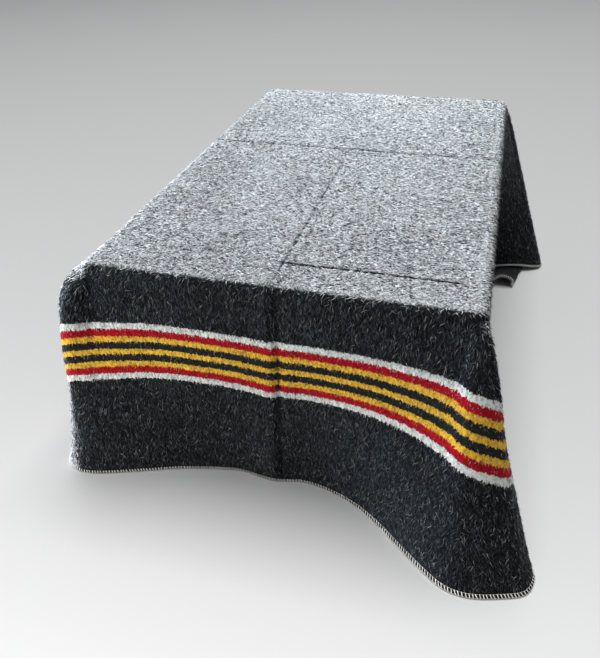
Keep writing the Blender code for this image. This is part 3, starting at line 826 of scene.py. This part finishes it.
# %% Colour the undyed felt
def add_ground(tree, hung, own, painted_light, shade):
    """Colour of the undyed felt: painted light makes the top light grey, the hanging sides stay dark."""
    uneven = add_node(tree, "Math", {0: hung, 1: own}, operation="ADD")
    turn = add_node(tree, "Math", {0: uneven.outputs[0], 1: 0.5, 2: painted_light}, operation="MULTIPLY_ADD")
    lit = add_node(tree, "MapRange", {"Value": turn.outputs[0], "From Min": 1.10, "From Max": 1.46},
                   interpolation_type="SMOOTHSTEP")
    # painted light: this light grey is the charcoal felt as it looks in the light, painted in
    painted_light_colour = add_node(tree, "Mix", {0: shade, 6: linear("#111214"), 7: linear("#d6d9da")},
                          data_type="RGBA")
    rare = add_node(tree, "Math", {0: shade, 1: 2.8}, operation="POWER")
    side_colour = add_node(tree, "Mix", {0: rare.outputs[0], 6: linear("#030405"),
                                         7: linear("#4b5259")}, data_type="RGBA")
    ground = add_node(tree, "Mix", {0: lit.outputs[0], 6: side_colour.outputs[2],
                                    7: painted_light_colour.outputs[2]}, data_type="RGBA")
    return ground.outputs[2]


# %% Colour the stripes
def add_stripes(tree, cut, hung, shade, ground):
    """Colour with the striped band on the ground, by the place in the flat cut."""
    along = add_node(tree, "SeparateXYZ", {"Vector": cut})
    ragged = add_node(tree, "Math", {0: hung, 1: RAGGED, 2: along.outputs["Y"]},
                      operation="MULTIPLY_ADD")
    low = BAND_LOW + RAGGED / 2
    band = add_node(tree, "MapRange", {"Value": ragged.outputs[0], "From Min": low,
                                       "From Max": low + BAND_DEEP}, clamp=False)
    ramp = add_node(tree, "ValToRGB", {"Fac": band.outputs[0]})
    ramp.color_ramp.interpolation = "CONSTANT"
    share = 0.0
    for k, (deep, colour) in enumerate(STRIPES):
        stop = ramp.color_ramp.elements[k] if k < 2 else ramp.color_ramp.elements.new(share)
        stop.position = share
        stop.color = linear(colour)
        share += deep / 1000 / BAND_DEEP
    off_middle = add_node(tree, "Math", {0: band.outputs[0], 1: 0.5}, operation="SUBTRACT")
    distance = add_node(tree, "Math", {0: off_middle.outputs[0]}, operation="ABSOLUTE")
    in_band = add_node(tree, "Math", {0: distance.outputs[0], 1: 0.5}, operation="LESS_THAN")
    fleck = add_node(tree, "MapRange", {"Value": shade, "To Min": 0.55, "To Max": 1.22})
    dyed = add_node(tree, "Mix", {0: 1.0, 6: ramp.outputs["Color"], 7: fleck.outputs[0]},
                    data_type="RGBA", blend_type="MULTIPLY")
    striped = add_node(tree, "Mix", {0: in_band.outputs[0], 6: ground, 7: dyed.outputs[2]},
                       data_type="RGBA")
    return striped.outputs[2]


# %% Add the strays and the painted crease shade
def add_strays(tree, tint, clumps, striped):
    """Colour with tan and white strays, which keep their own colour on every ground."""
    stray = add_node(tree, "Math", {0: tint, 1: STRAY_FROM}, operation="GREATER_THAN")
    stray_colour = add_node(tree, "Mix", {0: clumps, 6: linear("#948a78"), 7: linear("#a3a8ab")},
                            data_type="RGBA")
    flecked = add_node(tree, "Mix", {0: stray.outputs[0], 6: striped, 7: stray_colour.outputs[2]},
                       data_type="RGBA")
    return flecked.outputs[2]


def add_crease_shade(tree, place, pressed_and_shaded, flecked):
    """Colour with painted shade in the creases, which patches of noise break up."""
    patches = add_node(tree, "TexNoise", {"Vector": place, "Scale": repeats(SHADE_PATCH), "Detail": 4.0})
    shade_break = add_node(tree, "MapRange", {"Value": patches.outputs["Fac"], "From Min": 0.35,
                                       "From Max": 0.65, "To Min": -0.45, "To Max": 0.45})
    crease_shade = add_node(tree, "Math", {0: pressed_and_shaded, 1: 1.5, 2: shade_break.outputs[0]}, operation="MULTIPLY_ADD")
    press = add_node(tree, "MapRange", {"Value": crease_shade.outputs[0], "From Min": 0.60, "From Max": 1.30})
    # painted shade: the creases turn near black
    crease_shaded = add_node(tree, "Mix", {0: press.outputs[0], 6: flecked, 7: linear("#0c0e10")},
                       data_type="RGBA")
    return crease_shaded.outputs[2]


# %% Make the felt and the sheet
def felt_material():
    """Felt of mixed fibres, with its striped band and painted light and shade, for the cloth and its
    nap.
    """
    mat, tree, shader = new_material("needled_shoddy_felt")
    names = ("cut", "up", "tint", "pressed_and_shaded", "painted_light")
    cut, up, tint, pressed_and_shaded, painted_light = [add_node(tree, "Attribute", attribute_name=n) for n in names]
    place = add_node(tree, "TexCoord").outputs["Object"]
    clumps = add_node(tree, "TexNoise", {"Vector": place, "Scale": repeats(CLUMP),
                                         "Detail": 3.0}).outputs["Fac"]
    own = add_node(tree, "Math", {0: tint.outputs["Fac"], 1: OWN_MOST}, operation="MINIMUM").outputs[0]
    hung, strokes = add_strokes(tree, place, up.outputs["Fac"])
    fibre = add_fibres(tree, place, strokes, own, clumps)
    shade = add_node(tree, "MapRange", {"Value": fibre, "From Min": 0.78, "From Max": 1.26}).outputs[0]
    ground = add_ground(tree, hung, own, painted_light.outputs["Fac"], shade)
    striped = add_stripes(tree, cut.outputs["Vector"], hung, shade, ground)
    flecked = add_strays(tree, tint.outputs["Fac"], clumps, striped)
    crease_shaded = add_crease_shade(tree, place, pressed_and_shaded.outputs["Fac"], flecked)
    tree.links.new(crease_shaded, shader.inputs["Base Color"])
    bump = add_node(tree, "Bump", {"Height": fibre, "Strength": 0.5, "Distance": 0.003})
    tree.links.new(bump.outputs[0], shader.inputs["Normal"])
    shader.inputs["Roughness"].default_value = 0.95
    shader.inputs["Specular IOR Level"].default_value = 0.15
    shader.inputs["Sheen Weight"].default_value = 0.12
    shader.inputs["Sheen Roughness"].default_value = 0.35
    shader.inputs["Sheen Tint"].default_value = linear("#e8eef4")
    return mat


felt = felt_material()
cloth = build_sheet(felt)
print(f"cloth: {sum(len(p.vertices) - 2 for p in cloth.data.polygons)} triangles")

# %% [markdown]
# ## Nap
#
# Brushing pulls fibres out of felt into locks, 6 to 12 mm long, which lie over each other. They
# give the surface its shaggy grain and the outline its fuzz. Hair curves would do it too, but
# the exported model needs real faces, so each lock is a thin closed spike with four faces. On
# the top the locks lie to both sides, and on the sides they hang down. Fewer stand in a crease.
# They are 1 to 2 mm wide at the root, coarser than real ones, so that they show in the picture.

# %% Find the faces that carry nap
NAP_PIECES = 4
LOCKS_EACH = 46000
LOCK_LONG = (0.006, 0.012)
LOCK_WIDE = (0.0009, 0.0018)
LOCK_SINKS = 0.0006           # the root is this deep in the felt
BARE_AT_HEM = 0.012           # the overlock holds the nap down
HEM_CLEAR = 0.006             # no lock reaches closer to the hem
LYING = 0.9                   # a face that looks up more than this is the top
rng = np.random.default_rng(7)


def quads(grid, around):
    """Four corners of each face of a grid; around says that the last row joins the first."""
    ahead = np.roll(grid, -1, axis=0) if around else grid[1:]
    here = grid if around else grid[:-1]
    corners = np.stack([here[:, :-1], ahead[:, :-1], ahead[:, 1:], here[:, 1:]], axis=2)
    return corners.reshape(-1, 4, grid.shape[-1])


def outer_faces():
    """Corners of the outer face's quads: point, cut, normal, fall, crushing and shade, room to the hem.
    """
    fall = np.gradient(hang, axis=1)
    fall /= np.linalg.norm(fall, axis=2, keepdims=True)
    hung = np.concatenate([hang, hang_cut, hang_normal, fall, hang_pressed_and_shaded[..., None],
                           to_hem[..., None]], axis=2)
    plain = np.broadcast_to((0, 0, 1, 1, 0, 0), (*top_cut.shape[:-1], 6))
    flat = np.concatenate([top, top_cut, plain, top_pressed_and_shaded[..., None],
                           np.full((*top_cut.shape[:-1], 1), 1.0)], axis=2)
    return np.concatenate([quads(hung, True), quads(flat, False)])


# %% Strew the locks of nap
CREASE_GAP = 0.0010           # a lock ends this far before a crease
LOCK_SHORTEST = 0.0025
PARTED = 0.8                  # share of the locks that a crease parts
THINNED = 0.8                 # share that is missing where the felt is pressed hardest
WILD, STRAY = 0.10, 0.018     # shares of locks that stand up, and of stray fibres
SWING, SWING_TOP = 24, 42     # degrees to the sides, on the hanging faces and on the top
LIFT, WILD_LIFT = (5, 16), (20, 45)         # degrees off the felt
WILD_LONG, WILD_WIDE, STRAY_LONG, STRAY_WIDE = 0.8, 0.55, 0.60, 0.40
HUNG_WIDE = 0.8               # width on the hanging faces, as a share of the top's
IN_BAND_LONG = 0.62           # the stripes' dyed fibres are shorter
BAND_MARGIN = 0.004
TINT_MEAN, TINT_SPREAD, TOP_SPREAD = 0.5, 0.33, 0.36
TINT_LEAST, TINT_MOST, STRAY_TINT = -0.2, 1.2, 2.0
# painted shade at each lock's root, among the other locks, and painted light at its tip
FROM_ROOT = (-0.30, -0.30, -0.08, 0.28)     # tint of the root's corners, the ridge and the tip
SPIKE = np.array([[0, 1, 2], [1, 0, 3], [2, 1, 3], [0, 2, 3]])


def unit(vectors):
    """The vectors at length 1."""
    return vectors / np.linalg.norm(vectors, axis=1)[:, None]


def pick_places(faces, count):
    """Places picked evenly over the faces, fewer where they are pressed, none at the hem."""
    side_a = faces[:, 2, :3] - faces[:, 0, :3]
    side_b = faces[:, 3, :3] - faces[:, 1, :3]
    area = np.linalg.norm(np.cross(side_a, side_b), axis=1) / 2
    corner = faces[rng.choice(len(faces), count, p=area / area.sum())]
    a, b = rng.random(count)[:, None], rng.random(count)[:, None]
    at = (corner[:, 0] * (1 - a) * (1 - b) + corner[:, 1] * a * (1 - b)
          + corner[:, 2] * a * b + corner[:, 3] * (1 - a) * b)
    return at[(at[:, 12] > BARE_AT_HEM) & (rng.random(count) > THINNED * at[:, 11])]


def lie_of(normal, fall):
    """Direction in which each lock lies: downhill with some swing, to both sides on the top."""
    n, up = len(normal), np.clip(normal[:, 2], 0, 1)
    fall = unit(fall - normal * np.sum(fall * normal, axis=1)[:, None])
    swing = rng.normal(0, 1, n) * np.radians(SWING + (SWING_TOP - SWING) * up)
    swing += np.where((up > LYING) & (rng.random(n) < 0.5), pi, 0)
    return fall * np.cos(swing)[:, None] + np.cross(normal, fall) * np.sin(swing)[:, None]


def parted(cut, way, up, long):
    """Lengths of the locks, cut short where they would cross a crease of the top."""
    u, v = cut[:, 0], cut[:, 1]
    lines = ((CREASE_ACROSS - v, way[:, 1], np.abs(u) < 0.34),
             (CREASE_HALF - v, way[:, 1], (u > -0.005) & (u < 0.285)),
             (-u, way[:, 0], (v > -0.49) & (v < -0.03)))
    for gap, speed, there in lines:
        reach = gap / np.where(np.abs(speed) < SQUARE_ON, SQUARE_ON, speed) - CREASE_GAP
        crosses = there & (up > LYING) & (reach > -CREASE_GAP) & (reach < long)
        crosses &= rng.random(len(long)) < PARTED
        long = np.where(crosses, np.maximum(reach, LOCK_SHORTEST), long)
    return long


def build_nap(name, faces, count, mat):
    """A mesh of thin closed spikes that lie on the outer face."""
    at = pick_places(faces, count)
    n = len(at)
    root, cut, normal, pressed_and_shaded = at[:, :3], at[:, 3:5], unit(at[:, 5:8]), at[:, 11]
    up = np.clip(normal[:, 2], 0, 1)
    way = lie_of(normal, at[:, 8:11])
    wild = rng.random(n) < WILD
    lift = np.radians(np.where(wild, rng.uniform(*WILD_LIFT, n), rng.uniform(*LIFT, n)))[:, None]
    above_border = cut[:, 1] - BAND_LOW
    in_band = (above_border > -BAND_MARGIN) & (above_border < BAND_DEEP + BAND_MARGIN)
    long = rng.uniform(*LOCK_LONG, n) * np.where(wild, WILD_LONG, 1.0)
    long = np.minimum(long * np.where(in_band, IN_BAND_LONG, 1.0), at[:, 12] - HEM_CLEAR)
    long = parted(cut, way, up, long)
    stray = rng.random(n) < STRAY
    long = (long * np.where(stray, STRAY_LONG, 1.0))[:, None]
    wide = rng.uniform(*LOCK_WIDE, n) * (HUNG_WIDE + (1 - HUNG_WIDE) * up)
    wide = (wide * np.where(stray, STRAY_WIDE, np.where(wild, WILD_WIDE, 1.0)))[:, None]
    spread = TINT_SPREAD + (TOP_SPREAD - TINT_SPREAD) * up
    tint = np.clip(rng.normal(TINT_MEAN, spread, n), TINT_LEAST, TINT_MOST)
    tint = np.where(stray[:, None], STRAY_TINT, tint[:, None] + np.array([FROM_ROOT]))

    half = np.cross(normal, way) * wide / 2
    sunk = root - normal * LOCK_SINKS
    tip = root + (way * np.cos(lift) + normal * np.sin(lift)) * long
    points = np.stack([sunk - half, sunk + half, root + normal * wide / 2, tip], axis=1)
    points[..., 2] = np.maximum(points[..., 2], FLOOR_GAP)
    spikes = (np.arange(n)[:, None, None] * 4 + SPIKE).reshape(-1, 3)
    obj = add_mesh(name, points.reshape(-1, 3), spikes.tolist(), mat)
    mark(obj, "cut", np.repeat(np.pad(cut, ((0, 0), (0, 1))), 4, axis=0))
    mark(obj, "tint", tint.ravel())
    for layer, values in (("up", up), ("pressed_and_shaded", pressed_and_shaded), ("painted_light", painted_light_share(root, normal))):
        mark(obj, layer, np.repeat(values, 4))
    return obj


outer = outer_faces()
nap = [build_nap(f"nap_{k + 1}", outer, LOCKS_EACH, felt) for k in range(NAP_PIECES)]
print("locks of nap:", sum(len(obj.data.vertices) // 4 for obj in nap))

# %% [markdown]
# ## Overlocked hem
#
# The cut edge is bound by an overlock machine in undyed bulky yarn. A looper yarn runs from the
# needle line over the edge to the other side and back, about 5 mm on at each stitch. A thin yarn
# runs along the needle line and another along the edge. The seam was guided by hand, so it is 5
# to 8 mm wide and its stitches vary a little, and where it is narrow the thin yarns are drawn
# into the felt. All are tubes that follow the cloth's real edge: a picture of stitches would be
# flat on the outline. Bulked polyester is matt, with a soft sheen, and its plies show as bumps.

# %% Define the run of a yarn
STITCH_PITCH = 0.0054
NEEDLE_ROW = -3               # this row is 8 mm from the hem
YARN_RADIUS = 0.0007
THIN_YARN = 0.0002
YARN_SIDES = 4
PLY, SOILED = 1.11, 40.0      # millimetres: plies drawn coarse, and patches of wear


def along_closed(run, total, at, values):
    """Values at the running lengths in at, on a closed line."""
    run = np.concatenate([run, [total]])
    values = np.concatenate([values, values[:1]])
    return np.stack([np.interp(at % total, run, values[:, k]) for k in range(values.shape[1])], axis=1)


def tube(name, path, facing, radius):
    """A closed tube along a closed path; facing is roughly square to the path."""
    along = np.roll(path, -1, axis=0) - np.roll(path, 1, axis=0)
    along /= np.linalg.norm(along, axis=1)[:, None]
    beside = np.cross(along, facing)
    beside /= np.linalg.norm(beside, axis=1)[:, None]
    outward = np.cross(beside, along)
    turns = np.arange(YARN_SIDES) / YARN_SIDES * 2 * pi
    points = path[:, None] + radius * (np.cos(turns)[None, :, None] * outward[:, None]
                                       + np.sin(turns)[None, :, None] * beside[:, None])
    points[..., 2] = np.maximum(points[..., 2], FLOOR_GAP / 2)
    at = np.arange(len(path) * YARN_SIDES).reshape(len(path), YARN_SIDES)
    ahead = np.roll(at, -1, axis=0)
    faces = np.stack([at, np.roll(at, -1, axis=1), np.roll(ahead, -1, axis=1), ahead], axis=2)
    return add_mesh(name, points.reshape(-1, 3), faces.reshape(-1, 4).tolist(), yarn_mat)


# %% Make the yarn
yarn_mat, tree, shader = new_material("bulked_polyester_yarn")
place = add_node(tree, "TexCoord")
plies = add_node(tree, "TexNoise", {"Vector": place.outputs["Object"], "Scale": repeats(PLY),
                                    "Detail": 1.0})
soiled = add_node(tree, "TexNoise", {"Vector": place.outputs["Object"], "Scale": repeats(SOILED),
                                     "Detail": 2.0})
yarn_colour = add_node(tree, "Mix", {0: soiled.outputs["Fac"], 6: linear("#fbf8f0"),
                                     7: linear("#e2dcd0")}, data_type="RGBA")
tree.links.new(yarn_colour.outputs[2], shader.inputs["Base Color"])
bump = add_node(tree, "Bump", {"Height": plies.outputs["Fac"], "Strength": 0.4, "Distance": 0.0004})
tree.links.new(bump.outputs[0], shader.inputs["Normal"])
shader.inputs["Roughness"].default_value = 0.75
shader.inputs["Sheen Weight"].default_value = 0.2
print(f"yarn {YARN_RADIUS * 2000:.1f} mm thick")

# %% Follow the hem
PAST_EDGE, PAST_END = 0.0008, 0.0024        # how far the looper stands off the cut edge
NARROW_LEFT, NARROW_BACK = 0.5, 0.8         # how far the seam goes to the row 4 mm from the hem
LEFT_OF, BACK_OF = (0.25, 0.05), (-0.1, 0.1)

last, last_normal, needle_normal = hang[:, -1], hang_normal[:, -1], hang_normal[:, NEEDLE_ROW]
hem_line = last - last_normal * CLOTH_THICK / 2
hem_line[:, 2] = np.maximum(hem_line[:, 2], FLOOR_GAP + CLOTH_THICK / 2)
onward = unit(last - hang[:, -2])
hem_steps = np.linalg.norm(np.roll(hem_line, -1, axis=0) - hem_line, axis=1)
hem_run = np.concatenate([[0], np.cumsum(hem_steps)[:-1]])
hem_total = hem_steps.sum()
stitches = round(hem_total / STITCH_PITCH)
pitch = hem_total / stitches
narrow = np.maximum(NARROW_LEFT * fade(hem_line[:, 0], *LEFT_OF),
                    NARROW_BACK * fade(hem_line[:, 1], *BACK_OF))[:, None]
needle_line = hang[:, NEEDLE_ROW] * (1 - narrow) + hang[:, NEEDLE_ROW + 1] * narrow
print(f"hem {hem_total:.2f} m round, {stitches} stitches")

# %% Sew the looper yarn
STAGGER = 0.12                # share of the pitch
EDGE_TURN_ROW = 2             # the looper's turn round the edge, which has no stagger
looper = (
    (0.00, needle_line + needle_normal * YARN_RADIUS, last_normal),
    (0.40, last + last_normal * YARN_RADIUS + onward * PAST_EDGE, last_normal),
    (0.50, hem_line + onward * PAST_END, onward),
    (0.60, last - last_normal * (CLOTH_THICK + YARN_RADIUS) + onward * PAST_EDGE, -last_normal),
    (0.85, needle_line - needle_normal * (CLOTH_THICK + YARN_RADIUS), -last_normal),
)
stagger = np.random.default_rng(11).uniform(-STAGGER, STAGGER, (len(looper), stitches))
stagger[EDGE_TURN_ROW] = 0.0
path = np.zeros((stitches, len(looper), 3))
facing = np.zeros_like(path)
for k, (share, points, outward) in enumerate(looper):
    at = (np.arange(stitches) + share + stagger[k]) * pitch
    path[:, k] = along_closed(hem_run, hem_total, at, points)
    facing[:, k] = along_closed(hem_run, hem_total, at, outward)
looper_yarn = tube("overlock_looper_yarn", path.reshape(-1, 3), facing.reshape(-1, 3), YARN_RADIUS)
print("looper yarn:", len(looper_yarn.data.polygons), "faces")

# %% Sew the thin yarns
DRAWN_IN = 4                  # a yarn is fully in the felt where the seam is half narrowed
drawn_in = THIN_YARN * np.maximum(1 - DRAWN_IN * narrow, -1)


def thin_yarn(name, line, normal):
    """A thin yarn along a line of the cloth, drawn into the felt where the seam is narrow."""
    at = np.arange(2 * stitches) * pitch / 2
    return tube(name, along_closed(hem_run, hem_total, at, line + normal * drawn_in),
                along_closed(hem_run, hem_total, at, normal), THIN_YARN)


needle_yarn = thin_yarn("overlock_needle_yarn", needle_line, needle_normal)
edge_yarn = thin_yarn("overlock_edge_yarn", last, last_normal)
print("thin yarns:", len(needle_yarn.data.polygons), "and", len(edge_yarn.data.polygons), "faces")

# %% [markdown]
# ## Table
#
# The table is hidden, so it is a plain one of oiled beech. Its board, legs and aprons keep their
# CAD meshes and only get this wood: slow bands of growth and fine pores, both drawn out ten times
# along the grain. The pores are drawn coarser than real ones. Oil leaves a satin face, so the
# roughness is halfway.

# %% Give the table its wood
GROWTH_BAND = (16.7, 167, 16.7)        # mm along x, y and z
PORE = (1.11, 11.1, 1.11)

wood_mat, tree, shader = new_material("oiled_beech")
place = add_node(tree, "TexCoord").outputs["Object"]
grain_place = add_node(tree, "Mapping", {"Vector": place, "Scale": [repeats(s) for s in GROWTH_BAND]})
growth = add_node(tree, "TexNoise", {"Vector": grain_place.outputs[0], "Scale": 1.0, "Detail": 4.0})
pore_place = add_node(tree, "Mapping", {"Vector": place, "Scale": [repeats(s) for s in PORE]})
pores = add_node(tree, "TexNoise", {"Vector": pore_place.outputs[0], "Scale": 1.0, "Detail": 1.0})
pore = add_node(tree, "MapRange", {"Value": pores.outputs["Fac"], "From Min": 0.62, "From Max": 0.72})
wood_colour = add_node(tree, "Mix", {0: growth.outputs["Fac"], 6: linear("#b98a5c"),
                                     7: linear("#d7b083")}, data_type="RGBA")
pored = add_node(tree, "Mix", {0: pore.outputs[0], 6: wood_colour.outputs[2], 7: linear("#8a5f3c")},
                 data_type="RGBA")
tree.links.new(pored.outputs[2], shader.inputs["Base Color"])
bump = add_node(tree, "Bump", {"Height": pores.outputs["Fac"], "Strength": 0.15, "Distance": 0.0003})
tree.links.new(bump.outputs[0], shader.inputs["Normal"])
shader.inputs["Roughness"].default_value = 0.5
for name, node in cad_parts.items():
    if name != "blanket":
        node.material_slots[0].material = wood_mat
print(f"{len(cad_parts) - 1} parts of the table")

# %% [markdown]
# ## The whole object
#
# Every piece rides on the one body. The cloth takes the place of its CAD solid, which is
# hidden; it is a sheet draped over the table's top, and its nap and yarns ride with it.

extras = [*nap, looper_yarn, needle_yarn, edge_yarn]
for piece in [cloth, *extras]:
    flagged_off_floor.objects.link(piece)
    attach(piece, "root")
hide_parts("blanket")
